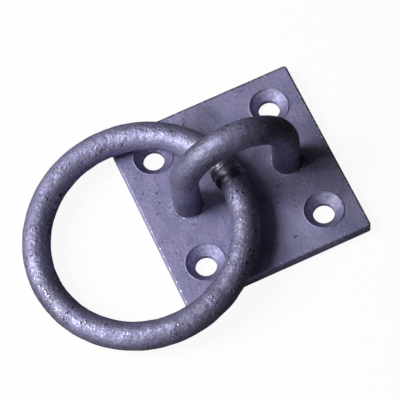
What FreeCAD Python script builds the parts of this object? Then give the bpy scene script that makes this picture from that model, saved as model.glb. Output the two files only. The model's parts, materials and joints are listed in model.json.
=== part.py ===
import FreeCAD, Part
import math
import os
from types import SimpleNamespace

import Sketcher
from FreeCAD import Vector

# A square galvanised plate with a bent round-bar staple through it and a welded ring in the staple's eye.
# Millimetres. The origin is the centre of the plate's back face, +Z out of its front, +X along the staple.

SIZES = {
    # Plate: cut from flat bar, its front edges rounded over and its back edges just broken
    "plate_length": 55.0,
    "plate_width": 55.0,
    "plate_thickness": 4.0,
    "plate_corner_radius": 0.9,
    "plate_front_round": 0.5,
    "plate_back_break": 0.25,
    # Four countersunk screw holes
    "screw_pitch_along": 35.5,
    "screw_pitch_across": 35.5,
    "screw_hole_diameter": 6.0,
    "countersink_diameter": 10.8,
    "countersink_angle": 90.0,
    # Staple: one bent round bar whose two legs pass through the plate and are plug welded at its back
    "staple_bar_diameter": 8.0,
    "staple_leg_pitch": 30.0,
    "staple_inside_height": 23.5,
    "leg_hole_clearance": 0.15,
    "leg_hole_round": 0.3,
    "leg_end_setback": 1.2,
    "leg_end_chamfer": 0.6,
    # Ring: round bar rolled to a circle, its two ends bevelled and butt welded in two runs
    "ring_inside_diameter": 50.0,
    "ring_bar_diameter": 8.0,
    "ring_weld_angle": 0.5,
    "ring_weld_root": 1.2,
    "ring_weld_width": 6.0,
    "ring_weld_depth": 2.4,
    "ring_weld_crown": 0.5,
    # How the ring lies: where it crosses the staple's plane, how it is turned, and what it clears
    "ring_offset": 2.1,
    "ring_swing": 7.7,
    "ring_floor_gap": 0.1,
    "ring_plate_gap": 0.25,
}


class Size:
    """A length or an angle: a number here, and in the document a formula on the sheet's cells."""

    def __init__(self, value, formula):
        self.value = value
        self.formula = formula

    def __add__(self, other):
        other = as_size(other)
        return Size(self.value + other.value, f"({self.formula} + {other.formula})")

    def __sub__(self, other):
        other = as_size(other)
        return Size(self.value - other.value, f"({self.formula} - {other.formula})")

    def __mul__(self, other):
        other = as_size(other)
        return Size(self.value * other.value, f"({self.formula} * {other.formula})")

    def __truediv__(self, other):
        other = as_size(other)
        return Size(self.value / other.value, f"({self.formula} / {other.formula})")

    def __neg__(self):
        return self * -1


def as_size(number):
    return number if isinstance(number, Size) else Size(float(number), str(float(number)))


def sine(angle):
    return Size(math.sin(math.radians(angle.value)), f"sin({angle.formula})")


def cosine(angle):
    return Size(math.cos(math.radians(angle.value)), f"cos({angle.formula})")


def write_cell(sheet, row, name, value):
    """One named value on the sheet: its name in column A, its number in column B."""
    sheet.set(f"A{row}", name)
    sheet.set(f"B{row}", str(value))
    sheet.setAlias(f"B{row}", name)
    return Size(value, "sizes." + name)


document = FreeCAD.newDocument("ring_on_plate")
sheet = document.addObject("Spreadsheet::Sheet", "sizes")
size = SimpleNamespace()
for row, (name, value) in enumerate(SIZES.items(), start=1):
    setattr(size, name, write_cell(sheet, row, name, value))

# Lengths that several pieces share
zero = as_size(0)
leg_radius = size.staple_bar_diameter / 2
leg_x = size.staple_leg_pitch / 2
leg_hole_radius = leg_radius + size.leg_hole_clearance
plug_weld_depth = size.leg_end_setback + size.leg_end_chamfer
arch_centre_z = size.plate_thickness + size.staple_inside_height + leg_radius - leg_x
ring_bar_radius = size.ring_bar_diameter / 2
ring_radius = size.ring_inside_diameter / 2 + ring_bar_radius


def gap_over_plate(slope):
    """Smallest gap between ring and plate at this slope in radians, the ring's far side just off the floor."""
    radius = ring_radius.value
    bar = ring_bar_radius.value
    swing = math.radians(size.ring_swing.value)
    crossing_z = size.ring_floor_gap.value + bar + 2 * radius * math.sin(slope)
    gaps = []
    for half_degrees in range(720):
        turn = math.radians(half_degrees / 2)
        out = radius * (1 - math.cos(turn))
        aside = radius * math.sin(turn)
        x = -size.ring_offset.value - out * math.cos(slope) * math.cos(swing) - aside * math.sin(swing)
        y = aside * math.cos(swing) - out * math.cos(slope) * math.sin(swing)
        z = crossing_z - out * math.sin(slope)
        past_x = max(abs(x) - size.plate_length.value / 2, 0)
        past_y = max(abs(y) - size.plate_width.value / 2, 0)
        past_z = max(z - size.plate_thickness.value, 0)
        gaps.append(math.hypot(past_x, past_y, past_z) - bar)
    return min(gaps)


def rest_slope():
    """Degrees that the ring slopes down from the staple, lying on the plate's edge and on the floor."""
    low = 0.0
    high = math.radians(45)
    for _ in range(40):
        middle = (low + high) / 2
        if gap_over_plate(middle) < size.ring_plate_gap.value:
            low = middle
        else:
            high = middle
    return round(math.degrees(high), 4)


# The one cell that is worked out: the slope follows the plate, the ring, its bar and the two gaps
size.ring_slope = write_cell(sheet, len(SIZES) + 2, "ring_slope", rest_slope())
document.recompute()


def new_body(label):
    body = document.addObject("PartDesign::Body", label)
    body.Label = label
    return body


def new_feature(body, kind, name, **sizes):
    """A feature at the end of its body, with each given property bound to its formula."""
    feature = body.newObject("PartDesign::" + kind, f"{body.Label}_{name}")
    for key, value in sizes.items():
        feature.setExpression(key, value.formula)
    return feature


def set_placement(item, key, x=zero, y=zero, z=zero, yaw=zero, pitch=zero):
    place = f"vector({x.formula}; {y.formula}; {z.formula})"
    item.setExpression(key, f"placement({place}; rotation({yaw.formula}; {pitch.formula}; 0))")


def new_sketch(body, name, plane, **offset):
    """A sketch on one of the body's own origin planes, moved or turned in that plane where offset says."""
    sketch = body.newObject("Sketcher::SketchObject", f"{body.Label}_{name}")
    support = next(item for item in body.Origin.OriginFeatures if item.Role == plane)
    sketch.AttachmentSupport = [(support, "")]
    sketch.MapMode = "FlatFace"
    set_placement(sketch, "AttachmentOffset", **offset)
    return sketch


def rule(sketch, kind, *references, size=None):
    """Add a constraint, bound to its formula if it has a size."""
    if size is None:
        sketch.addConstraint(Sketcher.Constraint(kind, *references))
        return
    index = sketch.addConstraint(Sketcher.Constraint(kind, *references, size.value))
    sketch.setExpression(f"Constraints[{index}]", size.formula)


# How a sketch names its points: a curve's start, end and centre, its own two axes, and its origin
START, END, CENTRE = range(1, 4)
ACROSS_AXIS, UP_AXIS = range(-1, -3, -1)
ORIGIN = (ACROSS_AXIS, START)


def hold(sketch, curve, point, x=None, y=None):
    """Hold a curve's point at x and y from the sketch's origin."""
    for kind, axis, distance in (("DistanceX", UP_AXIS, x), ("DistanceY", ACROSS_AXIS, y)):
        if distance is None:
            continue
        if distance.value == 0:
            rule(sketch, "PointOnObject", curve, point, axis)
        elif distance.value > 0:
            rule(sketch, kind, *ORIGIN, curve, point, size=distance)
        else:
            rule(sketch, kind, curve, point, *ORIGIN, size=-distance)


def add_circle(sketch, x, y, radius):
    centre = Vector(x.value, y.value, 0)
    curve = sketch.addGeometry(Part.Circle(centre, Vector(0, 0, 1), radius.value), False)
    hold(sketch, curve, CENTRE, x, y)
    rule(sketch, "Radius", curve, size=radius)


def add_arc(sketch, x, y, radius, first_degrees, last_degrees):
    """An arc that runs anticlockwise, not yet held."""
    circle = Part.Circle(Vector(x.value, y.value, 0), Vector(0, 0, 1), radius.value)
    arc = Part.ArcOfCircle(circle, math.radians(first_degrees), math.radians(last_degrees))
    return sketch.addGeometry(arc, False)


def add_line(sketch, start, end):
    """A line between two corners, not yet held."""
    points = [Vector(x.value, y.value, 0) for x, y in (start, end)]
    return sketch.addGeometry(Part.LineSegment(*points), False)


def add_chain(sketch, corners, closed=True):
    """Straight lines from corner to corner, each corner held at its place."""
    ends = corners[1:] + corners[:1] if closed else corners[1:]
    lines = [add_line(sketch, start, end) for start, end in zip(corners, ends)]
    for line, (x, y) in zip(lines, corners):
        hold(sketch, line, START, x, y)
    for line, following in zip(lines, lines[1:]):
        rule(sketch, "Coincident", line, END, following, START)
    if closed:
        rule(sketch, "Coincident", lines[-1], END, lines[0], START)
    else:
        hold(sketch, lines[-1], END, *corners[-1])
    return lines


def edges_where(feature, test):
    """The names of the feature's edges that pass the test."""
    edges = feature.Shape.Edges
    return [f"Edge{number}" for number, edge in enumerate(edges, start=1) if test(edge)]


def near(first, second):
    return abs(first - second) < 1e-4


def lies_level_at(edge, z):
    return near(edge.BoundBox.ZMin, z) and near(edge.BoundBox.ZMax, z)


def stands_upright(edge):
    return edge.Curve.TypeId == "Part::GeomLine" and near(abs(edge.tangentAt(edge.FirstParameter).z), 1)


def is_circle(edge, radius):
    return edge.Curve.TypeId == "Part::GeomCircle" and edge.isClosed() and near(edge.Curve.Radius, radius)


def dress(body, kind, name, edges, **sizes):
    """A fillet or chamfer on the named edges of the body's last feature."""
    base = body.Tip
    feature = new_feature(body, kind, name, **sizes)
    feature.Base = (base, edges)
    document.recompute()
    return feature


def make_plate():
    body = new_body("plate")
    half_length = size.plate_length / 2
    half_width = size.plate_width / 2
    outline = new_sketch(body, "outline", "XY_Plane")
    add_chain(outline, [
        (-half_length, -half_width),
        (half_length, -half_width),
        (half_length, half_width),
        (-half_length, half_width),
    ])
    pad = new_feature(body, "Pad", "pad", Length=size.plate_thickness)
    pad.Profile = outline
    document.recompute()
    dress(body, "Fillet", "corners", edges_where(pad, stands_upright), Radius=size.plate_corner_radius)

    screw_sketch = new_sketch(body, "screw_centres", "XY_Plane", z=size.plate_thickness)
    for along in (-1, 1):
        for across in (-1, 1):
            x = size.screw_pitch_along / 2 * along
            y = size.screw_pitch_across / 2 * across
            add_circle(screw_sketch, x, y, size.screw_hole_diameter / 2)
    document.recompute()
    screws = new_feature(body, "Hole", "screw_holes")
    screws.Profile = screw_sketch
    screws.DepthType = "ThroughAll"
    screws.HoleCutType = "Countersink"
    screws.setExpression("Diameter", size.screw_hole_diameter.formula)
    screws.setExpression("HoleCutDiameter", size.countersink_diameter.formula)
    screws.setExpression("HoleCutCountersinkAngle", size.countersink_angle.formula)
    document.recompute()

    leg_sketch = new_sketch(body, "leg_centres", "XY_Plane", z=size.plate_thickness)
    for side in (-1, 1):
        add_circle(leg_sketch, leg_x * side, zero, leg_hole_radius)
    legs = new_feature(body, "Pocket", "leg_holes")
    legs.Profile = leg_sketch
    legs.Type = "ThroughAll"
    document.recompute()

    top = size.plate_thickness.value
    hole_radius = leg_hole_radius.value
    mouths = edges_where(body.Tip, lambda edge: is_circle(edge, hole_radius) and lies_level_at(edge, 0))
    dress(body, "Chamfer", "plug_weld_bevels", mouths, Size=plug_weld_depth)
    mouths = edges_where(body.Tip, lambda edge: is_circle(edge, hole_radius) and lies_level_at(edge, top))
    dress(body, "Fillet", "leg_hole_rounds", mouths, Radius=size.leg_hole_round)
    rim = edges_where(body.Tip, lambda edge: lies_level_at(edge, top) and on_outline(edge))
    dress(body, "Fillet", "front_round", rim, Radius=size.plate_front_round)
    rim = edges_where(body.Tip, lambda edge: lies_level_at(edge, 0) and on_outline(edge))
    dress(body, "Chamfer", "back_break", rim, Size=size.plate_back_break)
    return body


def on_outline(edge):
    """The plate's outer edges reach its corner rounds; the holes' edges don't."""
    box = edge.BoundBox
    reach_x = size.plate_length.value / 2 - size.plate_corner_radius.value
    reach_y = size.plate_width.value / 2 - size.plate_corner_radius.value
    far_x = max(abs(box.XMin), abs(box.XMax)) > reach_x - 1e-4
    far_y = max(abs(box.YMin), abs(box.YMax)) > reach_y - 1e-4
    return far_x and far_y


def make_staple():
    """A round bar bent to a half circle with two straight legs, its ends chamfered for the plug welds."""
    body = new_body("staple")
    foot = size.leg_end_setback
    path = new_sketch(body, "path", "XZ_Plane")
    left = add_line(path, (-leg_x, foot), (-leg_x, arch_centre_z))
    arch = add_arc(path, zero, arch_centre_z, leg_x, 0, 180)
    right = add_line(path, (leg_x, arch_centre_z), (leg_x, foot))
    hold(path, left, START, -leg_x, foot)
    hold(path, right, END, leg_x, foot)
    rule(path, "Vertical", left)
    rule(path, "Vertical", right)
    rule(path, "Tangent", left, END, arch, END)
    rule(path, "Tangent", right, START, arch, START)
    hold(path, arch, CENTRE, y=arch_centre_z)
    section = new_sketch(body, "section", "XY_Plane", z=foot)
    add_circle(section, -leg_x, zero, leg_radius)
    document.recompute()
    bar = new_feature(body, "AdditivePipe", "bar")
    bar.Profile = section
    bar.Spine = (path, ["Edge1", "Edge2", "Edge3"])
    document.recompute()
    ends = edges_where(bar, lambda edge: lies_level_at(edge, foot.value))
    dress(body, "Chamfer", "leg_ends", ends, Size=size.leg_end_chamfer)
    return body


def make_plug_weld(label, side):
    """Weld metal that fills the bevelled hole round a leg's end, ground flush with the plate's back."""
    body = new_body(label)
    profile = new_sketch(body, "profile", "XZ_Plane")
    add_chain(profile, [
        (zero, zero),
        (leg_hole_radius + plug_weld_depth, zero),
        (leg_hole_radius, plug_weld_depth),
        (leg_radius, plug_weld_depth),
        (leg_radius - size.leg_end_chamfer, size.leg_end_setback),
        (zero, size.leg_end_setback),
    ])
    fill = new_feature(body, "Revolution", "fill")
    fill.Profile = profile
    fill.ReferenceAxis = (profile, ["V_Axis"])
    set_placement(body, "Placement", x=leg_x * side)
    return body


def lay_ring(body):
    """Both bodies of the ring share its frame: its centre, its own X towards where it crosses the staple."""
    level = ring_radius * cosine(size.ring_slope)
    x = -size.ring_offset - level * cosine(size.ring_swing)
    y = -level * sine(size.ring_swing)
    z = size.ring_floor_gap + ring_bar_radius + ring_radius * sine(size.ring_slope)
    set_placement(body, "Placement", x=x, y=y, z=z, yaw=size.ring_swing, pitch=-size.ring_slope)


def new_weld_sketch(body, name):
    """A sketch in the ring's plane at its weld: its up axis is the bar's own centreline there."""
    x = ring_radius * cosine(size.ring_weld_angle)
    y = ring_radius * sine(size.ring_weld_angle)
    return new_sketch(body, name, "XY_Plane", x=x, y=y, yaw=size.ring_weld_angle)


def make_ring():
    """Round bar rolled to a circle, with a V groove turned round the bar where its two ends meet."""
    body = new_body("ring")
    section = new_sketch(body, "section", "XZ_Plane")
    add_circle(section, ring_radius, zero, ring_bar_radius)
    bar = new_feature(body, "Revolution", "bar")
    bar.Profile = section
    bar.ReferenceAxis = (section, ["V_Axis"])
    document.recompute()
    whole = bar.Shape.Volume
    root = size.ring_weld_root / 2
    rise = (size.ring_weld_width / 2 - root) / size.ring_weld_depth
    mouth = size.ring_weld_width / 2 + rise * size.ring_weld_crown
    groove_sketch = new_weld_sketch(body, "groove_profile")
    add_chain(groove_sketch, [
        (zero, -root),
        (ring_bar_radius - size.ring_weld_depth, -root),
        (ring_bar_radius + size.ring_weld_crown, -mouth),
        (ring_bar_radius + size.ring_weld_crown, mouth),
        (ring_bar_radius - size.ring_weld_depth, root),
        (zero, root),
    ])
    groove = new_feature(body, "Groove", "weld_groove")
    groove.Profile = groove_sketch
    groove.ReferenceAxis = (groove_sketch, ["V_Axis"])
    document.recompute()
    if not groove.Shape.Volume < whole:
        raise RuntimeError("the ring's weld groove cut nothing")
    lay_ring(body)
    return body


def make_ring_weld():
    """Weld metal that fills the ring's V groove and stands proud of the bar in two low crowns, side by side."""
    body = new_body("ring_weld")
    root = size.ring_weld_root / 2
    toe = size.ring_weld_width / 2
    run = toe / 2
    crown = size.ring_weld_crown
    crown_radius = (run * run + crown * crown) / (crown * 2)
    crown_centre = ring_bar_radius + crown - crown_radius
    half_angle = math.degrees(math.asin(run.value / crown_radius.value))
    profile = new_weld_sketch(body, "profile")
    lines = add_chain(profile, [
        (ring_bar_radius, toe),
        (ring_bar_radius - size.ring_weld_depth, root),
        (zero, root),
        (zero, -root),
        (ring_bar_radius - size.ring_weld_depth, -root),
        (ring_bar_radius, -toe),
    ], closed=False)
    first = add_arc(profile, crown_centre, -run, crown_radius, -half_angle, half_angle)
    second = add_arc(profile, crown_centre, run, crown_radius, -half_angle, half_angle)
    rule(profile, "Coincident", lines[-1], END, first, START)
    rule(profile, "Coincident", first, END, second, START)
    rule(profile, "Coincident", second, END, lines[0], START)
    hold(profile, second, START, ring_bar_radius, zero)
    rule(profile, "Radius", first, size=crown_radius)
    rule(profile, "Radius", second, size=crown_radius)
    fill = new_feature(body, "Revolution", "bead")
    fill.Profile = profile
    fill.ReferenceAxis = (profile, ["V_Axis"])
    lay_ring(body)
    return body


bodies = [
    make_plate(),
    make_staple(),
    make_plug_weld("staple_weld_left", -1),
    make_plug_weld("staple_weld_right", 1),
    make_ring(),
    make_ring_weld(),
]
document.recompute()

for item in document.Objects:
    if "Invalid" in item.State or "Error" in item.State:
        raise RuntimeError(f"{item.Label} failed: {item.State}")
for body in bodies:
    if body.Shape.isNull() or not body.Shape.isValid() or len(body.Shape.Solids) != 1:
        raise RuntimeError(f"{body.Label} is not one valid solid")

os.makedirs("parts", exist_ok=True)
for body in bodies:
    body.Shape.exportStep(f"parts/{body.Label}.step")
    print(body.Label, round(body.Shape.Volume, 2), "mm3")
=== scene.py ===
import json
import math

import bmesh
import bpy
from mathutils import Matrix, Vector, noise


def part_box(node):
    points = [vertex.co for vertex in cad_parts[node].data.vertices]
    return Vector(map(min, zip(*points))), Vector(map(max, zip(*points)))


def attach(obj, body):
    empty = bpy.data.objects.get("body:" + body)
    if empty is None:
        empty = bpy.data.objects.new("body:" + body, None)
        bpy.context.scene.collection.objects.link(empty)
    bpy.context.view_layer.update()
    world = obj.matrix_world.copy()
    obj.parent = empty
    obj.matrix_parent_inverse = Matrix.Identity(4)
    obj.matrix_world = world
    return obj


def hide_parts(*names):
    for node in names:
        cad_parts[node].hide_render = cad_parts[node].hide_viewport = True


# The galvanised ring on plate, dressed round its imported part. Metres, in the part's own frame.

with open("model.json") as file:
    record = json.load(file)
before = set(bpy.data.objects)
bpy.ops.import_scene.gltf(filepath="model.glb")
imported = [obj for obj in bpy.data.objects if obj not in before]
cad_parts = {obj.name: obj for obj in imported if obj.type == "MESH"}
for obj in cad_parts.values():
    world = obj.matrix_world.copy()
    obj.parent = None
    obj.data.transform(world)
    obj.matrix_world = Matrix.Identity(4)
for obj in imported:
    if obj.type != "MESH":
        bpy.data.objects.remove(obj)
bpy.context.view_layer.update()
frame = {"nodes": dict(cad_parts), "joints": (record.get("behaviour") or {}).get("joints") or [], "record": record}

MM = 0.001

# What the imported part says: the ring crosses the staple's plane where its hinge is
joint = frame["joints"][0]
crossing = Vector(joint["pos_m"])
along = Vector(joint["axis"]).normalized()
ring_low, ring_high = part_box("ring")
ring_centre = (ring_low + ring_high) / 2
outward = (crossing - ring_centre).normalized()
ring_axis = outward.cross(along)
ring_radius = (crossing - ring_centre).length
ring_bar_radius = (ring_high.z - ring_low.z) / 2 - (crossing.z - ring_centre.z)
weld_low, weld_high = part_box("ring_weld")
weld_arm = (weld_low + weld_high) / 2 - ring_centre
weld_angle = math.atan2(weld_arm.dot(along), weld_arm.dot(outward))

staple_low, staple_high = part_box("staple")
leg_radius = (staple_high.y - staple_low.y) / 2
leg_x = staple_high.x - leg_radius
arch_centre_z = staple_high.z - leg_radius - leg_x
plate_low, plate_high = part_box("plate")
plate_front = plate_high.z
screws = next(mount for mount in frame["record"]["mounts"] if mount["name"] == "screw_holes")["dims"]
screw_x = screws["spacing_x_mm"] / 2 * MM
screw_y = screws["spacing_y_mm"] / 2 * MM

# Sizes that the boxes don't give, as the part has them
COUNTERSINK_RADIUS = 5.4 * MM
WELD_ROOT = 1.2 * MM
WELD_WIDTH = 6.0 * MM
WELD_DEPTH = 2.4 * MM
WELD_CROWN = 0.5 * MM
LEG_END_CHAMFER = 0.6 * MM

# What every zinc surface shares: the colour of its dark marks and its painted shade, of its bare specks and
# painted glints, and of its painted light; the index of its oxide skin, and how much smoother a glint is
MARK_AND_SHADE_COLOR = (0.02, 0.0185, 0.04, 1)
PAINTED_GLINT_AND_BARE_COLOR = (0.58, 0.575, 0.64, 1)
PAINTED_LIGHT_COLOR = (0.5, 0.475, 0.78, 1)
ZINC_OXIDE_IOR = 2.0
GLINT_SMOOTHING = 0.3

# How many parts of a finer or wider pattern go with one patch, grain or mark
FINE_PER_PATCH = 6.0
DUST_PER_GRAIN = 4.0
RIPPLES_PER_GRAIN = 0.9
ZONES_PER_MARK = 0.17

# Where each part starts and where it is full, by a noise's value, with its two strengths where not 0 and 1
PATCH_LEVELS = (0.45, 0.85)
CRAWL_BAND = (0.08, 0.0)
CRAWL_PLACES = (0.4, 0.58)
CLUSTER_PLACES = (0.42, 0.62)
CLEAR_PLACES = (0.58, 0.40)
ROUGH_PLACES = (0.38, 0.6, 0.35, 1.0)
BLOT_LEVELS = (0.69, 0.74)

# How strongly each part counts, and where the painted highlight on a mark's lit rim lies beside its mark
FINE_SHARE = 0.3
CLUSTER_GAIN = 0.14
DUST_HEIGHT = 0.08
MARK_DEPTH = 0.3
LIT_RIM_OFFSET = (0.30 * MM, -0.10 * MM, 0.05 * MM)

# The middle that every noise swings about, and what brings its usual swing either way to about 1
NOISE_MIDDLE = 0.5
SWING_GAIN = 4.0


# Small tools for node trees

def add_node(tree, kind, inputs=None, **settings):
    """A node with its settings, and its inputs given as a value or as another node's output."""
    node = tree.nodes.new(kind)
    for name, value in settings.items():
        setattr(node, name, value)
    for name, value in (inputs or {}).items():
        socket = node.inputs[name]
        if isinstance(value, bpy.types.NodeSocket):
            tree.links.new(value, socket)
        else:
            socket.default_value = value
    return node


def calculate(tree, operation, *values):
    """A Math node's output."""
    return add_node(tree, "ShaderNodeMath", dict(enumerate(values)), operation=operation).outputs[0]


def in_turn(tree, operation, first, *others):
    """Any number of values joined one after the other."""
    result = first
    for value in others:
        result = calculate(tree, operation, result, value)
    return result


def add(tree, *values):
    return in_turn(tree, "ADD", *values)


def subtract(tree, value, less):
    return calculate(tree, "SUBTRACT", value, less)


def multiply(tree, *values):
    return in_turn(tree, "MULTIPLY", *values)


def largest(tree, *values):
    return in_turn(tree, "MAXIMUM", *values)


def magnitude(tree, value):
    """A value without its sign."""
    return calculate(tree, "ABSOLUTE", value)


def inverse(tree, value):
    """One divided by a value."""
    return calculate(tree, "DIVIDE", 1.0, value)


def ramp(tree, value, low, high, to_low=0.0, to_high=1.0):
    """Value eased from to_low at low to to_high at high."""
    inputs = {"Value": value, "From Min": low, "From Max": high, "To Min": to_low, "To Max": to_high}
    return add_node(tree, "ShaderNodeMapRange", inputs, interpolation_type="SMOOTHSTEP").outputs["Result"]


def vector_math(tree, operation, first, second, output="Vector"):
    """A Vector Math node's output."""
    node = add_node(tree, "ShaderNodeVectorMath", {0: first, 1: second}, operation=operation)
    return node.outputs[output]


def distance_to(tree, place, middle):
    return vector_math(tree, "DISTANCE", place, middle, "Value")


def cloud(tree, place, per_metre, detail, roughness=0.5, distortion=0.0, seed=None):
    """How dense a noise is at a place, with so many patches to the metre; each seed has its own pattern."""
    inputs = {
        "Vector": place, "Scale": per_metre, "Detail": detail, "Roughness": roughness,
        "Distortion": distortion,
    }
    if seed is None:
        return add_node(tree, "ShaderNodeTexNoise", inputs).outputs["Fac"]
    node = add_node(tree, "ShaderNodeTexNoise", {**inputs, "W": seed}, noise_dimensions="4D")
    return node.outputs["Fac"]


def overlay(tree, share, base, color):
    """The base colour with a share of another colour laid over it."""
    return add_node(tree, "ShaderNodeMix", {0: share, 6: base, 7: color}, data_type="RGBA").outputs[2]


def add_socket(tree, in_out, kind, name, value=None):
    """Give a group a socket, with its usual value where it has one."""
    socket = tree.interface.new_socket(name, in_out=in_out, socket_type="NodeSocket" + kind)
    if value is not None:
        socket.default_value = value


def new_group(name, kind, inputs, outputs):
    """A node group with its named inputs and outputs, and its two end nodes."""
    tree = bpy.data.node_groups.new(name, kind)
    for socket_name, (socket_kind, value) in inputs.items():
        add_socket(tree, "INPUT", socket_kind, socket_name, value)
    for socket_name, socket_kind in outputs.items():
        add_socket(tree, "OUTPUT", socket_kind, socket_name)
    given = tree.nodes.new("NodeGroupInput").outputs
    result = tree.nodes.new("NodeGroupOutput").inputs
    return tree, given, result


def connect(tree, results, sockets):
    """Each named result into the socket of that name."""
    for name, value in results.items():
        tree.links.new(value, sockets[name])


# Finish of the zinc: two effects that every zinc material shares

def make_mottle_group():
    """Soft patches where the zinc cooled brighter or duller."""
    tree, given, result = new_group(
        "zinc_mottle",
        "ShaderNodeTree",
        {
            "Vector": ("Vector", None),
            "Patch Size": ("Float", 6 * MM),
            "Dull": ("Color", (0.2, 0.2, 0.2, 1)),
            "Bright": ("Color", (0.3, 0.3, 0.3, 1)),
        },
        {"Color": "Color", "Patch": "Float"},
    )
    per_patch = inverse(tree, given["Patch Size"])
    per_fine = multiply(tree, per_patch, FINE_PER_PATCH)
    wide = cloud(tree, given["Vector"], per_patch, detail=3.0, roughness=0.55, distortion=0.6)
    fine = cloud(tree, given["Vector"], per_fine, detail=4.0, roughness=0.6)
    patch = ramp(tree, add(tree, wide, multiply(tree, fine, FINE_SHARE)), *PATCH_LEVELS)
    connect(tree, {"Color": overlay(tree, patch, given["Dull"], given["Bright"]), "Patch": patch}, result)
    return tree


def make_coat_group():
    """The coat's fine relief: its grain, clusters of dark marks with painted highlights beside them, and painted
    glints.
    """
    tree, given, result = new_group(
        "zinc_coat",
        "ShaderNodeTree",
        {
            "Vector": ("Vector", None),
            "Grain Size": ("Float", 0.6 * MM),
            "Mark Size": ("Float", 1.0 * MM),
            "Mark Cover": ("Float", 0.5),
            "Mark Length": ("Float", 1.0),
            "Mark Strength": ("Float", 1.0),
            "Glint Cover": ("Float", 0.5),
            "Crawl Height": ("Float", 0.1),
        },
        {"Height": "Float", "Marks": "Float", "Painted Glints": "Float"},
    )
    place = given["Vector"]
    per_grain = inverse(tree, given["Grain Size"])
    per_mark = inverse(tree, given["Mark Size"])
    grain = cloud(tree, place, per_grain, detail=2.0, roughness=0.4)
    dust = cloud(tree, place, multiply(tree, per_grain, DUST_PER_GRAIN), detail=1.0)
    per_ripple = multiply(tree, per_grain, RIPPLES_PER_GRAIN)
    ripple = cloud(tree, place, per_ripple, detail=1.0, distortion=1.2)
    off_middle = magnitude(tree, subtract(tree, ripple, NOISE_MIDDLE))
    crawl = multiply(tree, ramp(tree, off_middle, *CRAWL_BAND), ramp(tree, grain, *CRAWL_PLACES))

    zones = cloud(tree, place, multiply(tree, per_mark, ZONES_PER_MARK), detail=2.0)
    clustered = ramp(tree, zones, *CLUSTER_PLACES)
    cluster_gain = multiply(tree, clustered, given["Mark Cover"], CLUSTER_GAIN)
    drawn = add_node(tree, "ShaderNodeCombineXYZ", {
        "X": inverse(tree, given["Mark Length"]), "Y": 1.0, "Z": 1.0,
    })

    def make_blots(offset):
        """Small blots, drawn out along X and closer in a cluster, the whole pattern moved by an offset."""
        moved = vector_math(tree, "ADD", place, offset)
        spot = vector_math(tree, "MULTIPLY", moved, drawn.outputs["Vector"])
        blots = cloud(tree, spot, per_mark, detail=2.5, roughness=0.6, distortion=0.5)
        return ramp(tree, add(tree, blots, cluster_gain), *BLOT_LEVELS)

    marks = make_blots((0.0, 0.0, 0.0))
    # Painted highlights: lit rims where the marks' pattern is moved towards the lamp, and bright crawl lines
    lit_rims = multiply(tree, subtract(tree, 1.0, marks), make_blots(LIT_RIM_OFFSET))
    painted_shine = largest(tree, multiply(tree, crawl, ramp(tree, zones, *CLEAR_PLACES)), lit_rims)
    rough = multiply(tree, grain, ramp(tree, zones, *ROUGH_PLACES))
    fine = multiply(tree, dust, DUST_HEIGHT)
    raised = add(tree, rough, fine, multiply(tree, crawl, given["Crawl Height"]))
    connect(tree, {
        "Height": subtract(tree, raised, multiply(tree, marks, MARK_DEPTH)),
        "Marks": multiply(tree, marks, given["Mark Strength"]),
        "Painted Glints": multiply(tree, painted_shine, given["Glint Cover"]),
    }, result)
    return tree


mottle_group = make_mottle_group()
coat_group = make_coat_group()


def make_zinc(
    name, dull, bright, metallic, roughness, patch, grain, mark, mark_cover, glint_cover, relief, crawl,
    mark_length=1.0, mark_strength=1.0, shift=(0, 0, 0), wear_and_light=None,
):
    """Weathered, mottled, grainy zinc with dark marks and painted glints; a given function adds specks, painted
    light and shade.
    """
    material = bpy.data.materials.new(name)
    material.use_nodes = True
    tree = material.node_tree
    shader = tree.nodes["Principled BSDF"]
    place = tree.nodes.new("ShaderNodeTexCoord").outputs["Object"]
    shifted = vector_math(tree, "ADD", place, shift)
    tone = add_node(tree, "ShaderNodeGroup", {
        "Vector": shifted, "Patch Size": patch, "Dull": dull, "Bright": bright,
    }, node_tree=mottle_group).outputs
    coat = add_node(tree, "ShaderNodeGroup", {
        "Vector": shifted, "Grain Size": grain, "Mark Size": mark, "Mark Cover": mark_cover,
        "Mark Length": mark_length, "Mark Strength": mark_strength, "Glint Cover": glint_cover,
        "Crawl Height": crawl,
    }, node_tree=coat_group).outputs
    # Glints are painted highlights: glint colour standing in for sparkle, on a smoother surface
    bare_and_highlit = coat["Painted Glints"]
    dark = coat["Marks"]
    color = tone["Color"]
    # Bare specks and painted highlights, painted light and painted shade, from the given function
    if wear_and_light:
        worn_and_highlit, pale, painted_shade = wear_and_light(tree, place)
        bare_and_highlit = largest(tree, bare_and_highlit, worn_and_highlit)
        dark = largest(tree, dark, painted_shade)
        color = overlay(tree, pale, color, PAINTED_LIGHT_COLOR)
    # Dark marks, and painted shade in the same dark colour
    marked_and_shaded = overlay(tree, dark, color, MARK_AND_SHADE_COLOR)
    smooth, rough = roughness
    sheen = ramp(tree, tone["Patch"], 0.0, 1.0, rough, smooth)
    bump = add_node(tree, "ShaderNodeBump", {"Height": coat["Height"], "Distance": relief, "Strength": 1.0})
    connect(tree, {
        "Base Color": overlay(tree, bare_and_highlit, marked_and_shaded, PAINTED_GLINT_AND_BARE_COLOR),
        "Roughness": subtract(tree, sheen, multiply(tree, bare_and_highlit, GLINT_SMOOTHING)),
        "Normal": bump.outputs["Normal"],
    }, shader.inputs)
    shader.inputs["Metallic"].default_value = metallic
    shader.inputs["IOR"].default_value = ZINC_OXIDE_IOR
    return material


# Places on the part

def on_ring(angle):
    """A point on the ring's centreline, by its angle from the crossing, and the outward direction there."""
    direction = outward * math.cos(angle) + along * math.sin(angle)
    return ring_centre + direction * ring_radius, direction


def round_ring(degrees):
    return on_ring(math.radians(degrees))[0]


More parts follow.
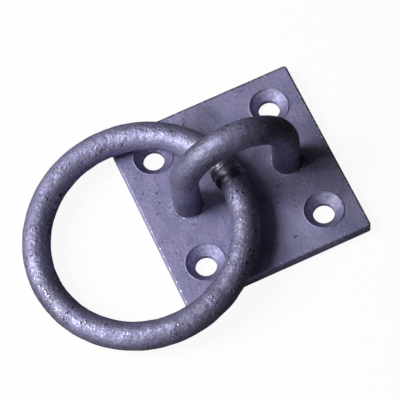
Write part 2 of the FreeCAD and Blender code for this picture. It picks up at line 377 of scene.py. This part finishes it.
def over_arch(degrees):
    """A point on the staple's centreline, by its angle round the arch from the right leg."""
    turn = math.radians(degrees)
    return Vector((leg_x * math.cos(turn), 0, arch_centre_z + leg_x * math.sin(turn)))


def on_plate(x, y):
    """A point on the plate's front, x and y given in mm."""
    return Vector((x * MM, y * MM, plate_front))


# Soft spots of painted shade and of painted light: each one's middle, how far its full tone and its edge reach
# in mm, and its strength
PLATE_PAINTED_SHADE = (
    (on_plate(-3, 7), 3, 15, 0.45), (on_plate(34, -6), 9, 22, 0.48), (on_plate(28, -24), 5, 14, 0.27),
    (on_plate(8, 10), 3, 10, 0.33), (on_plate(20, 7), 1, 6, 0.3), (on_plate(14, -12), 1, 6, 0.25),
    (on_plate(0, 22), 1, 6, 0.35), (on_plate(21, 0), 2, 6, 0.5),
)
PLATE_PAINTED_LIGHT = (
    (on_plate(7, -17), 4, 12, 0.42), (on_plate(29, 29), 3, 14, 0.25), (on_plate(9, 24), 2, 10, 0.12),
    (on_plate(-24, 8), 2, 8, 0.12), (on_plate(-9, 28), 2, 6, 0.3),
)
# On the ring: spots of painted shade and painted light, and by the arch a place partly rubbed smooth and partly a
# painted highlight
RING_PAINTED_SHADE = ((round_ring(305), 12, 30, 0.2), (round_ring(182), 3, 12, 0.42), (round_ring(8), 3, 9, 0.3))
RING_PAINTED_LIGHT = ((round_ring(84), 12, 24, 0.24), (round_ring(36), 4, 14, 0.15), (round_ring(168), 1, 6, 0.22))
RING_RUBBED_AND_HIGHLIGHT = ((round_ring(20), 3, 11, 0.25),)
# On the staple's arch: spots of painted shade and of painted light
STAPLE_PAINTED_SHADE = ((over_arch(128), 3, 8, 0.3), (over_arch(48), 4, 10, 0.35))
STAPLE_PAINTED_LIGHT = ((over_arch(88), 3, 8, 0.2), (over_arch(182), 3, 8, 0.2))

# How wide the waves in a spot's edge are, and how far it strays
SPOT_EDGE_SIZE = 6.0 * MM
SPOT_EDGE_STRAY = 12.0 * MM

# Sizes of the specks on the plate and of the patches in the painted shade low on the staple's legs
SPECK_SIZE = 1.0 * MM
FOOT_SHADE_PATCH_SIZE = 3.0 * MM

# Where each part of the bare specks, painted light and painted shade starts and where it is full, with its two
# strengths where not 0 and 1

# Along the plate's edges, by how far past an edge and above the front a place is, and by the specks' noise
SPECKS_PAST_EDGE = (-1.1 * MM, -0.5 * MM)
SPECKS_ABOVE_FRONT = (-1.8 * MM, -0.6 * MM, 0.15, 1.0)
SPECK_LEVELS = (0.56, 0.66)
# The line of painted shade on the far edges' rounding
LINE_PAST_EDGE = (-0.9 * MM, -0.4 * MM)
LINE_ABOVE_FRONT = (-1.0 * MM, -0.4 * MM)
LINE_LEVELS = (0.68, 0.46, 0.1, 0.9)

# The left edge's painted light, on the side towards the lamp, by how far in from the edge a place is
LEFT_OFF_ROUNDING = (0.4 * MM, 0.9 * MM)
LEFT_STRIP = (3.5 * MM, 1.0 * MM, 0.0, 0.12)
LEFT_SIDE = (0.1 * MM, 0.02 * MM, 0.0, 0.6)

# The countersinks, out from their middles and towards +Y: painted light on their +Y side and painted shade on the
# other, and the share of that light given glint colour
COUNTERSINK_WALL = (COUNTERSINK_RADIUS, COUNTERSINK_RADIUS - 0.1 * MM)
BLOTCH_LEVELS = (0.35, 0.65, 0.15, 0.8)
LIT_WALL_REACH = (-2.5 * MM, 3.5 * MM)
SHADED_WALL_REACH = (2.0 * MM, -4.0 * MM, 0.0, 0.4)
WALL_GLINT_SHARE = 0.2

# The spatter, out from a leg's middle
SPATTER_REACH = (leg_radius + 2.2 * MM, leg_radius + 0.6 * MM, 0.0, 0.55)
SPATTER_LEVELS = (0.5, 0.6)

# The painted shade low on the staple's legs, up from the plate's front
FOOT_SHADE_REACH = (13 * MM, 3 * MM)
FOOT_SHADE_LEVELS = (0.35, 0.6, 0.35, 0.7)

# The painted shade on the ring's weld, out from the ring's centre
WELD_SHADE_REACH = (ring_radius - 0.6 * MM, ring_radius - 2.4 * MM, 0.0, 0.9)


def lay_spots(tree, place, spots):
    """How strongly uneven spots cover a place."""
    edge = cloud(tree, place, 1 / SPOT_EDGE_SIZE, detail=4.0)
    strayed = multiply(tree, subtract(tree, edge, NOISE_MIDDLE), SPOT_EDGE_STRAY)
    cover = 0.0
    for middle, full, reach, strength in spots:
        away = add(tree, distance_to(tree, place, middle), strayed)
        cover = largest(tree, cover, ramp(tree, away, reach * MM, full * MM, 0.0, strength))
    return cover


def flat_distance(tree, aside, ahead):
    """How far a place lies from a line that stands on the plate."""
    return calculate(tree, "SQRT", add(tree, multiply(tree, aside, aside), multiply(tree, ahead, ahead)))


def from_screw(tree, side, screw):
    """How far along a side a place lies from the nearest screw hole's middle."""
    return subtract(tree, side, multiply(tree, calculate(tree, "SIGN", side), screw))


def above_front(tree, height):
    """How far above the plate's front a height is."""
    return subtract(tree, height, plate_front)


def edge_specks(tree, sides, specks):
    """Bare specks where the coat is broken along the front's edges, fainter down the plate's sides."""
    past_x = subtract(tree, magnitude(tree, sides["X"]), plate_high.x)
    past_y = subtract(tree, magnitude(tree, sides["Y"]), plate_high.y)
    rim = ramp(tree, largest(tree, past_x, past_y), *SPECKS_PAST_EDGE)
    front = ramp(tree, above_front(tree, sides["Z"]), *SPECKS_ABOVE_FRONT)
    return multiply(tree, front, rim, ramp(tree, specks, *SPECK_LEVELS))


def far_edge_painted_shade(tree, sides, specks):
    """Painted shade: a dark broken line on the rounding of the +X and +Y edges, the sides away from the lamp."""
    past_x = subtract(tree, sides["X"], plate_high.x)
    past_y = subtract(tree, sides["Y"], plate_high.y)
    rim = ramp(tree, largest(tree, past_x, past_y), *LINE_PAST_EDGE)
    rounding = ramp(tree, above_front(tree, sides["Z"]), *LINE_ABOVE_FRONT)
    return multiply(tree, rounding, rim, ramp(tree, specks, *LINE_LEVELS))


def left_edge_painted_light(tree, sides):
    """Painted light along the -X edge, towards the lamp, and on its side, with none on its rounding."""
    from_left = subtract(tree, sides["X"], plate_low.x)
    off_rounding = ramp(tree, from_left, *LEFT_OFF_ROUNDING)
    painted_strip = multiply(tree, off_rounding, ramp(tree, from_left, *LEFT_STRIP))
    return largest(tree, painted_strip, ramp(tree, from_left, *LEFT_SIDE))


def countersink_lit_and_shaded(tree, sides, specks):
    """Blotched painted light on the countersinks' +Y side, and painted shade on the other."""
    aside = from_screw(tree, sides["X"], screw_x)
    ahead = from_screw(tree, sides["Y"], screw_y)
    wall = ramp(tree, flat_distance(tree, aside, ahead), *COUNTERSINK_WALL)
    blotched = ramp(tree, specks, *BLOTCH_LEVELS)
    lit_wall = multiply(tree, wall, blotched, ramp(tree, ahead, *LIT_WALL_REACH))
    shaded_wall = multiply(tree, wall, ramp(tree, ahead, *SHADED_WALL_REACH))
    return lit_wall, shaded_wall


def foot_spatter(tree, sides, specks):
    """Zinc spattered on the plate round the staple's legs."""
    to_leg = flat_distance(tree, subtract(tree, magnitude(tree, sides["X"]), leg_x), sides["Y"])
    return multiply(tree, ramp(tree, to_leg, *SPATTER_REACH), ramp(tree, specks, *SPATTER_LEVELS))


def plate_wear_and_painted_light(tree, place):
    """Bare specks at the edges and round the legs; painted light and shade on the edges, countersinks and in
    spots.
    """
    sides = add_node(tree, "ShaderNodeSeparateXYZ", {"Vector": place}).outputs
    specks = cloud(tree, place, 1 / SPECK_SIZE, detail=3.0, roughness=0.6)
    lit_wall, shaded_wall = countersink_lit_and_shaded(tree, sides, specks)
    # A share of the countersinks' painted light is laid on as a painted glint
    wall_glint = multiply(tree, lit_wall, WALL_GLINT_SHARE)
    bare_and_highlit = largest(tree, edge_specks(tree, sides, specks), wall_glint, foot_spatter(tree, sides, specks))
    pale = largest(tree, lit_wall, left_edge_painted_light(tree, sides), lay_spots(tree, place, PLATE_PAINTED_LIGHT))
    painted_shade = largest(tree, far_edge_painted_shade(tree, sides, specks), shaded_wall, lay_spots(tree, place, PLATE_PAINTED_SHADE))
    return bare_and_highlit, pale, painted_shade


def ring_rub_and_painted_light(tree, place):
    """Rubbed bright by the arch, partly a painted highlight, with soft spots of painted light and painted shade.
    """
    return tuple(lay_spots(tree, place, spots) for spots in (RING_RUBBED_AND_HIGHLIGHT, RING_PAINTED_LIGHT, RING_PAINTED_SHADE))


def staple_painted_light(tree, place):
    """Spots of painted shade and painted light on the arch, and patchy painted shade low on the legs by the feet.
    """
    height = add_node(tree, "ShaderNodeSeparateXYZ", {"Vector": place}).outputs["Z"]
    patchy = ramp(tree, cloud(tree, place, 1 / FOOT_SHADE_PATCH_SIZE, detail=3.0), *FOOT_SHADE_LEVELS)
    foot_shade = multiply(tree, patchy, ramp(tree, above_front(tree, height), *FOOT_SHADE_REACH))
    painted_shade = largest(tree, foot_shade, lay_spots(tree, place, STAPLE_PAINTED_SHADE))
    return 0.0, lay_spots(tree, place, STAPLE_PAINTED_LIGHT), painted_shade


def bead_painted_shade(tree, place):
    """No bright or pale places, and painted shade on the inner side of the ring's weld."""
    return 0.0, 0.0, ramp(tree, distance_to(tree, place, ring_centre), *WELD_SHADE_REACH)


# Where each piece lies in the zinc's pattern, in metres, so that its patches fall about as on the real part
PLATE_SHIFT = (0.012, 0.04, 0.043)
RING_SHIFT = (0.041, -0.012, 0.055)
STAPLE_SHIFT = (0.035, 0.063, 0.039)

plate_zinc = make_zinc(
    "plate_zinc", dull=(0.18, 0.177, 0.345, 1), bright=(0.28, 0.256, 0.44, 1), metallic=0.5,
    roughness=(0.6, 0.7), patch=9 * MM, grain=0.8 * MM, mark=0.85 * MM, mark_cover=0.55,
    glint_cover=0.12, relief=0.12 * MM, crawl=0.04, mark_length=2.0, mark_strength=0.75,
    shift=PLATE_SHIFT, wear_and_light=plate_wear_and_painted_light,
)
ring_zinc = make_zinc(
    "ring_zinc", dull=(0.16, 0.152, 0.275, 1), bright=(0.218, 0.207, 0.36, 1), metallic=0.65,
    roughness=(0.5, 0.62), patch=5 * MM, grain=0.8 * MM, mark=0.9 * MM, mark_cover=0.9,
    glint_cover=0.6, relief=0.18 * MM, crawl=0.1, shift=RING_SHIFT, wear_and_light=ring_rub_and_painted_light,
)
staple_zinc = make_zinc(
    "staple_zinc", dull=(0.119, 0.115, 0.21, 1), bright=(0.178, 0.17, 0.295, 1), metallic=0.6,
    roughness=(0.52, 0.62), patch=5 * MM, grain=0.8 * MM, mark=0.9 * MM, mark_cover=0.85,
    glint_cover=0.25, relief=0.17 * MM, crawl=0.14, mark_length=1.6, shift=STAPLE_SHIFT, wear_and_light=staple_painted_light,
)
WELD_METAL = {
    "dull": (0.11, 0.105, 0.175, 1), "bright": (0.28, 0.27, 0.38, 1), "metallic": 0.75,
    "roughness": (0.3, 0.46), "patch": 1.2 * MM, "grain": 0.5 * MM, "mark": 1.0 * MM, "mark_cover": 0.7,
    "glint_cover": 0.3, "relief": 0.05 * MM, "crawl": 0.03,
}
weld_zinc = make_zinc("weld_zinc", **WELD_METAL)
bead_zinc = make_zinc("bead_zinc", wear_and_light=bead_painted_shade, **WELD_METAL)


# Pieces that a tree grows from a few points or edges

def new_object(name, mesh):
    item = bpy.data.objects.new(name, mesh)
    bpy.context.scene.collection.objects.link(item)
    return item


def grow(name, base, tree, values):
    """A finished plain mesh: the base mesh run through the tree with the given named inputs."""
    item = new_object(name, base)
    modifier = item.modifiers.new(tree.name, "NODES")
    modifier.node_group = tree
    identifiers = {socket.name: socket.identifier for socket in tree.interface.items_tree}
    for socket, value in values.items():
        modifier[identifiers[socket]] = value
    depsgraph = bpy.context.evaluated_depsgraph_get()
    evaluated = item.evaluated_get(depsgraph)
    grown = bpy.data.meshes.new_from_object(evaluated, preserve_all_data_layers=True, depsgraph=depsgraph)
    item.modifiers.clear()
    item.data = grown
    grown.name = name
    return item


def finish_growth(tree, geometry, material):
    """The end of both trees: smooth shading, real geometry and the material."""
    smooth = add_node(tree, "GeometryNodeSetShadeSmooth", {"Geometry": geometry}).outputs["Geometry"]
    whole = add_node(tree, "GeometryNodeRealizeInstances", {"Geometry": smooth}).outputs["Geometry"]
    dressed = add_node(tree, "GeometryNodeSetMaterial", {"Geometry": whole, "Material": material})
    return dressed.outputs["Geometry"]


# Where a bar's dips, pits and lumps start and are full by their own noise, and where its pits and lumps lie
# by the dips' noise, with the two strengths where not 0 and 1
DIP_LEVELS = (0.3, 0.7)
PIT_LEVELS = (0.5, 0.2)
PIT_PLACES = (0.45, 0.62)
LUMP_LEVELS = (0.25, 0.75)
LUMP_PLACES = (0.4, 0.6, 0.2, 1.0)


def make_bar_tree():
    """A round bar swept along a path, with shallow dips and pits sunk into its lumpy skin."""
    tree, given, result = new_group(
        "galvanised_bar",
        "GeometryNodeTree",
        {
            "Path": ("Geometry", None),
            "Bar Radius": ("Float", 4 * MM),
            "Step": ("Float", 0.3 * MM),
            "Points Around": ("Int", 84),
            "Dip Depth": ("Float", 0.1 * MM),
            "Dip Size": ("Float", 5 * MM),
            "Pit Depth": ("Float", 0.08 * MM),
            "Pit Size": ("Float", 1.4 * MM),
            "Lump Depth": ("Float", 0.03 * MM),
            "Lump Size": ("Float", 1 * MM),
            "Seed": ("Float", 0.0),
            "Material": ("Material", None),
        },
        {"Bar": "Geometry"},
    )
    path = add_node(tree, "GeometryNodeMeshToCurve", {"Mesh": given["Path"]}).outputs["Curve"]
    spaced = add_node(tree, "GeometryNodeResampleCurve", {
        "Curve": path, "Length": given["Step"],
    }, mode="LENGTH")
    outline = add_node(tree, "GeometryNodeCurvePrimitiveCircle", {
        "Resolution": given["Points Around"], "Radius": given["Bar Radius"],
    })
    share = add_node(tree, "GeometryNodeInputNamedAttribute", {"Name": "share"}, data_type="FLOAT")
    bar = add_node(tree, "GeometryNodeCurveToMesh", {
        "Curve": spaced.outputs["Curve"], "Profile Curve": outline.outputs["Curve"],
        "Scale": share.outputs["Attribute"], "Fill Caps": True,
    })
    position = tree.nodes.new("GeometryNodeInputPosition").outputs["Position"]
    per_dip = inverse(tree, given["Dip Size"])
    per_lump = inverse(tree, given["Lump Size"])
    dips = cloud(tree, position, per_dip, detail=2.0, seed=given["Seed"])
    lumps = cloud(tree, position, per_lump, detail=1.0, roughness=0.4, seed=given["Seed"])
    cells = add_node(tree, "ShaderNodeTexVoronoi", {
        "Vector": position, "W": given["Seed"], "Scale": inverse(tree, given["Pit Size"]),
    }, voronoi_dimensions="4D")
    pit = multiply(tree, ramp(tree, cells.outputs["Distance"], *PIT_LEVELS), ramp(tree, dips, *PIT_PLACES))
    lump = multiply(tree, ramp(tree, lumps, *LUMP_LEVELS), ramp(tree, dips, *LUMP_PLACES))
    depth = add(
        tree,
        multiply(tree, ramp(tree, dips, *DIP_LEVELS), given["Dip Depth"]),
        multiply(tree, pit, given["Pit Depth"]),
        multiply(tree, lump, given["Lump Depth"]),
    )
    normal = tree.nodes.new("GeometryNodeInputNormal").outputs["Normal"]
    inward = add_node(tree, "ShaderNodeVectorMath", {
        0: normal, "Scale": multiply(tree, depth, -1.0),
    }, operation="SCALE")
    sunk = add_node(tree, "GeometryNodeSetPosition", {
        "Geometry": bar.outputs["Mesh"], "Offset": inward.outputs["Vector"],
    })
    tree.links.new(finish_growth(tree, sunk.outputs["Geometry"], given["Material"]), result["Bar"])
    return tree


# How many points a lip has around its ring and around its section
LIP_POINTS_AROUND = 180
LIP_SECTION_POINTS = 14


def make_lip_tree():
    """A raised lip of zinc round each given point: a closed oval rod, sunk halfway, of uneven thickness."""
    tree, given, result = new_group(
        "zinc_lip",
        "GeometryNodeTree",
        {
            "Centres": ("Geometry", None),
            "Radius": ("Float", 5 * MM),
            "Width": ("Float", 0.5 * MM),
            "Height": ("Float", 0.2 * MM),
            "Unevenness": ("Float", 0.3),
            "Patch Size": ("Float", 2 * MM),
            "Seed": ("Float", 0.0),
            "Material": ("Material", None),
        },
        {"Lips": "Geometry"},
    )
    line = add_node(tree, "GeometryNodeCurvePrimitiveCircle", {
        "Resolution": LIP_POINTS_AROUND, "Radius": given["Radius"],
    })
    placed = add_node(tree, "GeometryNodeInstanceOnPoints", {
        "Points": given["Centres"], "Instance": line.outputs["Curve"],
    })
    lines = add_node(tree, "GeometryNodeRealizeInstances", {"Geometry": placed.outputs["Instances"]})
    section = add_node(tree, "GeometryNodeCurvePrimitiveCircle", {
        "Resolution": LIP_SECTION_POINTS, "Radius": 1.0,
    })
    oval = add_node(tree, "ShaderNodeCombineXYZ", {
        "X": calculate(tree, "DIVIDE", given["Width"], 2.0), "Y": given["Height"], "Z": 1.0,
    })
    shaped = add_node(tree, "GeometryNodeTransform", {
        "Geometry": section.outputs["Curve"], "Scale": oval.outputs["Vector"],
    })
    position = tree.nodes.new("GeometryNodeInputPosition").outputs["Position"]
    per_patch = inverse(tree, given["Patch Size"])
    patches = cloud(tree, position, per_patch, detail=3.0, roughness=0.6, seed=given["Seed"])
    swelling = multiply(tree, subtract(tree, patches, NOISE_MIDDLE), SWING_GAIN, given["Unevenness"])
    rod = add_node(tree, "GeometryNodeCurveToMesh", {
        "Curve": lines.outputs["Geometry"], "Profile Curve": shaped.outputs["Geometry"],
        "Scale": add(tree, 1.0, swelling),
    })
    tree.links.new(finish_growth(tree, rod.outputs["Mesh"], given["Material"]), result["Lips"])
    return tree


bar_tree = make_bar_tree()
lip_tree = make_lip_tree()

# How many edges each bar's path has, the skin that both bars share, and the size of the places where a lip
# swells or thins
RING_STEPS = 1440
STAPLE_STEPS = 720
BAR_SKIN = {
    "Step": 0.25 * MM, "Points Around": 100, "Dip Depth": 0.08 * MM, "Pit Size": 1.5 * MM,
    "Lump Size": 0.9 * MM,
}
LIP_PATCH = 2.5 * MM


def path_mesh(name, points, shares):
    """Edges from point to point, each point with its share of the bar's full radius."""
    mesh = bpy.data.meshes.new(name)
    mesh.from_pydata(points, [(index, index + 1) for index in range(len(points) - 1)], [])
    attribute = mesh.attributes.new("share", "FLOAT", "POINT")
    attribute.data.foreach_set("value", shares)
    return mesh


def make_ring():
    """The rolled bar, its two bevelled ends either side of the weld."""
    root = WELD_ROOT / 2
    length = 2 * math.pi * ring_radius - WELD_ROOT
    points = []
    shares = []
    for index in range(RING_STEPS + 1):
        gone = length * index / RING_STEPS
        to_end = min(gone, length - gone)
        bevel = min(to_end / (WELD_WIDTH / 2 - root), 1.0)
        points.append(on_ring(weld_angle + (root + gone) / ring_radius)[0])
        shares.append(1 - (1 - bevel) * WELD_DEPTH / ring_bar_radius)
    return grow("ring_bar", path_mesh("ring_path", points, shares), bar_tree, {
        **BAR_SKIN, "Bar Radius": ring_bar_radius, "Dip Size": 5 * MM, "Pit Depth": 0.1 * MM,
        "Lump Depth": 0.06 * MM, "Seed": 3.1, "Material": ring_zinc,
    })


def make_staple():
    """One bent bar: a leg, a half circle and the other leg, its two ends chamfered."""
    leg = arch_centre_z - staple_low.z
    length = 2 * leg + math.pi * leg_x
    points = []
    shares = []
    for index in range(STAPLE_STEPS + 1):
        gone = length * index / STAPLE_STEPS
        if gone < leg:
            point = Vector((-leg_x, 0, staple_low.z + gone))
        elif gone > length - leg:
            point = Vector((leg_x, 0, staple_low.z + length - gone))
        else:
            turn = (gone - leg) / leg_x
            point = Vector((-leg_x * math.cos(turn), 0, arch_centre_z + leg_x * math.sin(turn)))
        chamfer = min(min(gone, length - gone) / LEG_END_CHAMFER, 1.0)
        points.append(point)
        shares.append(1 - (1 - chamfer) * LEG_END_CHAMFER / leg_radius)
    return grow("staple_bar", path_mesh("staple_path", points, shares), bar_tree, {
        **BAR_SKIN, "Bar Radius": leg_radius, "Dip Size": 6 * MM, "Pit Depth": 0.08 * MM,
        "Lump Depth": 0.05 * MM, "Seed": 7.7, "Material": staple_zinc,
    })


def make_lips(name, centres, radius, width, height, unevenness, seed):
    """Lips of zinc on the plate's front round the given centres."""
    mesh = bpy.data.meshes.new(name + "_centres")
    mesh.from_pydata([(x, y, plate_front) for x, y in centres], [], [])
    return grow(name, mesh, lip_tree, {
        "Radius": radius, "Width": width, "Height": height, "Unevenness": unevenness,
        "Patch Size": LIP_PATCH, "Seed": seed, "Material": plate_zinc,
    })


# The ring's weld bead

# Each ridge across it: middle and width in mm, its share of the crown's height, and how soon it falls away
WELD_RIDGES = ((-1.0, 3.9, 0.95, 1.5), (1.35, 1.5, 0.75, 0.9), (2.35, 1.1, 0.5, 0.9))

# The bead's points, how far its ridges wander and ripple, and how soon they fade at its sides
BEAD_ROWS = 64
BEAD_SIDES = 112
BEAD_WANDER = 0.8 * MM
BEAD_WANDER_SIZE = 4.0 * MM
BEAD_RIPPLE = 0.07
BEAD_RIPPLE_SIZE = 0.7 * MM
BEAD_EDGE = 0.3 * MM

# Points that lie closer than this are one
SAME_POINT = 0.001 * MM


def hump(place, middle, width, fall):
    """1 at the middle and 0 from half the width on, falling away the sooner the higher fall is."""
    share = min(abs(place - middle) / (width / 2), 1.0)
    return (1 - share * share) ** fall


def bead_height(side, turn):
    """How far the bead stands proud of the bar, at a place across the weld and a turn round the bar."""
    spot = Vector((side, math.cos(turn) * ring_bar_radius, math.sin(turn) * ring_bar_radius))
    shifted = side + noise.noise(spot / BEAD_WANDER_SIZE) * BEAD_WANDER
    ridge = max(
        share * hump(shifted, middle * MM, width * MM, fall)
        for middle, width, share, fall in WELD_RIDGES
    )
    ripple = BEAD_RIPPLE * noise.noise(spot / BEAD_RIPPLE_SIZE)
    fade = min((WELD_WIDTH / 2 - abs(side)) / BEAD_EDGE, 1.0)
    return WELD_CROWN * min(ridge + ripple, 1.0) * fade


def make_bead():
    """The ring's weld: a broad run, a groove and two fine ridges, turned about the bar's centreline."""
    root = WELD_ROOT / 2
    groove_radius = ring_bar_radius - WELD_DEPTH
    # The turned outline's sides and radii, with no radius where the bead's own height sets it
    profile = [(-root, 0.0), (-root, groove_radius)]
    for index in range(BEAD_ROWS + 1):
        profile.append((-WELD_WIDTH / 2 + WELD_WIDTH * index / BEAD_ROWS, None))
    profile += [(root, groove_radius), (root, 0.0)]
    points = []
    for side, radius in profile:
        centre, direction = on_ring(weld_angle + side / ring_radius)
        for step in range(BEAD_SIDES):
            turn = 2 * math.pi * step / BEAD_SIDES
            facing = direction * math.cos(turn) + ring_axis * math.sin(turn)
            reach = ring_bar_radius + bead_height(side, turn) if radius is None else radius
            points.append(centre + facing * reach)
    faces = []
    for row in range(len(profile) - 1):
        here = row * BEAD_SIDES
        there = here + BEAD_SIDES
        for step in range(BEAD_SIDES):
            after = (step + 1) % BEAD_SIDES
            faces.append((here + step, here + after, there + after, there + step))
    mesh = bpy.data.meshes.new("ring_bead")
    mesh.from_pydata(points, [], faces)
    mesh.materials.append(bead_zinc)
    close_up(mesh)
    return new_object("ring_bead", mesh)


def close_up(mesh):
    """Merge the points that lie together, turn every face outwards and shade them smooth."""
    shape = bmesh.new()
    shape.from_mesh(mesh)
    bmesh.ops.remove_doubles(shape, verts=shape.verts, dist=SAME_POINT)
    bmesh.ops.recalc_face_normals(shape, faces=shape.faces)
    shape.to_mesh(mesh)
    shape.free()
    for face in mesh.polygons:
        face.use_smooth = True


ring = make_ring()
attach(ring, "loose_ring")
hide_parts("ring")

bead = make_bead()
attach(bead, "loose_ring")
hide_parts("ring_weld")

staple = make_staple()
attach(staple, "base")
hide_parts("staple")

screw_centres = [(x, y) for x in (-screw_x, screw_x) for y in (-screw_y, screw_y)]
for lips in (
    make_lips(
        "countersink_lips", screw_centres,
        radius=5.5 * MM, width=0.45 * MM, height=0.25 * MM, unevenness=0.45, seed=2.0,
    ),
    make_lips(
        "left_foot_lip", [(-leg_x, 0)],
        radius=4.05 * MM, width=0.4 * MM, height=0.06 * MM, unevenness=0.5, seed=5.0,
    ),
    make_lips(
        "right_foot_lip", [(leg_x, 0)],
        radius=4.15 * MM, width=0.6 * MM, height=0.13 * MM, unevenness=0.9, seed=5.0,
    ),
):
    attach(lips, "base")

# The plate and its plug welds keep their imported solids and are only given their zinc
kept_nodes = {"plate": plate_zinc, "staple_weld_left": weld_zinc, "staple_weld_right": weld_zinc}
for node_name, material in kept_nodes.items():
    node_mesh = frame["nodes"][node_name].data
    node_mesh.materials.clear()
    node_mesh.materials.append(material)


# Studio

# The floor, the fill light and the booth, sizes in metres
WHITE = (1, 1, 1, 1)
FLOOR_SIZE = 4.0
FLOOR_LEVEL = -0.05 * MM
FLOOR_COLOR = (0.9, 0.9, 0.9, 1)
FLOOR_WHITE_SHARE = 0.93
FILL_STRENGTH = 0.01
BOOTH_REACH = 1.2
BOOTH_OPEN_X = -0.35
BOOTH_SHEET_LEVEL = -0.02 * MM
BOOTH_COLOR = (0.02, 0.02, 0.02, 1)

# The camera, solved from the photo's outlines: angles in degrees, lens and sensor in mm, the rest in metres
CAMERA_LENS = 207.99
CAMERA_SENSOR = 36.0
CAMERA_AZIMUTH = -15.195
CAMERA_ELEVATION = 64.732
CAMERA_ROLL = -10.054
CAMERA_DISTANCE = 0.639294
CAMERA_TARGET = Vector((-10.921, 1.721, 0)) * MM
CAMERA_NEAR = 0.05
CAMERA_FAR = 10.0


def seen_directly(tree):
    """1 for what is seen straight, mirrored in metal or through glass, and 0 for light that scatters."""
    rays = tree.nodes.new("ShaderNodeLightPath").outputs
    return largest(tree, rays["Is Camera Ray"], rays["Is Glossy Ray"], rays["Is Transmission Ray"])


def make_floor():
    """A plain pale floor: white to the eye and in reflections, the object's shadow kept faint on it."""
    bpy.ops.mesh.primitive_plane_add(size=FLOOR_SIZE, location=(0, 0, FLOOR_LEVEL))
    floor = bpy.context.object
    floor.name = "floor"
    material = bpy.data.materials.new("pale_floor")
    material.use_nodes = True
    tree = material.node_tree
    tree.nodes.clear()
    lit = add_node(tree, "ShaderNodeBsdfDiffuse", {"Color": FLOOR_COLOR})
    white = add_node(tree, "ShaderNodeEmission", {"Color": WHITE, "Strength": 1.0})
    share = multiply(tree, seen_directly(tree), FLOOR_WHITE_SHARE)
    mix = add_node(tree, "ShaderNodeMixShader", {0: share, 1: lit.outputs[0], 2: white.outputs[0]})
    add_node(tree, "ShaderNodeOutputMaterial", {"Surface": mix.outputs[0]})
    floor.data.materials.append(material)
    return floor


def make_world():
    """White behind the object; what lights it from all round is only a little fill."""
    world = bpy.data.worlds.new("studio")
    bpy.context.scene.world = world
    world.use_nodes = True
    tree = world.node_tree
    tree.nodes.clear()
    fill = add_node(tree, "ShaderNodeBackground", {"Color": WHITE, "Strength": FILL_STRENGTH})
    white = add_node(tree, "ShaderNodeBackground", {"Color": WHITE, "Strength": 1.0})
    seen = seen_directly(tree)
    mix = add_node(tree, "ShaderNodeMixShader", {0: seen, 1: fill.outputs[0], 2: white.outputs[0]})
    add_node(tree, "ShaderNodeOutputWorld", {"Surface": mix.outputs[0]})


def make_booth():
    """A black-lined booth, open to the left, seen in the metal's reflections alone."""
    low_x, high_x, side, top = BOOTH_OPEN_X, BOOTH_REACH, BOOTH_REACH, BOOTH_REACH
    corners = [
        (x, y, z)
        for z in (BOOTH_SHEET_LEVEL, top)
        for x, y in ((low_x, -side), (high_x, -side), (high_x, side), (low_x, side))
    ]
    faces = [(0, 1, 2, 3), (4, 7, 6, 5), (1, 5, 6, 2), (0, 4, 5, 1), (3, 2, 6, 7)]
    mesh = bpy.data.meshes.new("booth")
    mesh.from_pydata(corners, [], faces)
    booth = new_object("booth", mesh)
    material = bpy.data.materials.new("black_cloth")
    material.use_nodes = True
    shader = material.node_tree.nodes["Principled BSDF"]
    shader.inputs["Base Color"].default_value = BOOTH_COLOR
    shader.inputs["Roughness"].default_value = 1.0
    shader.inputs["Specular IOR Level"].default_value = 0.0
    mesh.materials.append(material)
    booth.visible_camera = False
    booth.visible_diffuse = False
    booth.visible_shadow = False
    booth.visible_transmission = False
    return booth


def add_softbox(name, azimuth, elevation, distance, width, height, power):
    """A softbox that faces the object from a bearing anticlockwise from +X."""
    lamp = bpy.data.lights.new(name, "AREA")
    lamp.shape = "RECTANGLE"
    lamp.size = width
    lamp.size_y = height
    lamp.energy = power
    item = new_object(name, lamp)
    bearing = math.radians(azimuth)
    rise = math.radians(elevation)
    away = Vector((math.cos(bearing) * math.cos(rise), math.sin(bearing) * math.cos(rise), math.sin(rise)))
    item.location = away * distance
    item.rotation_euler = away.to_track_quat("Z", "Y").to_euler()


def make_camera():
    """The photo's view: a long lens, the picture's plane turned as the photo shows the plate."""
    camera = bpy.data.cameras.new("camera")
    camera.sensor_width = CAMERA_SENSOR
    camera.lens = CAMERA_LENS
    camera.clip_start = CAMERA_NEAR
    camera.clip_end = CAMERA_FAR
    item = new_object("camera", camera)
    azimuth = math.radians(CAMERA_AZIMUTH)
    elevation = math.radians(CAMERA_ELEVATION)
    roll = math.radians(CAMERA_ROLL)
    level = Vector((math.cos(azimuth), math.sin(azimuth), 0))
    back = Vector((
        math.sin(azimuth) * math.cos(elevation),
        -math.cos(azimuth) * math.cos(elevation),
        math.sin(elevation),
    ))
    upright = back.cross(level)
    right = level * math.cos(roll) + upright * math.sin(roll)
    up = upright * math.cos(roll) - level * math.sin(roll)
    turn = Matrix((right, up, back)).transposed().to_4x4()
    item.matrix_world = Matrix.Translation(CAMERA_TARGET + back * CAMERA_DISTANCE) @ turn
    bpy.context.scene.camera = item


floor = make_floor()
booth = make_booth()
make_world()
add_softbox("key", azimuth=168, elevation=44, distance=0.7, width=0.3, height=0.45, power=6.3)
make_camera()

bpy.context.scene.view_settings.view_transform = "Standard"
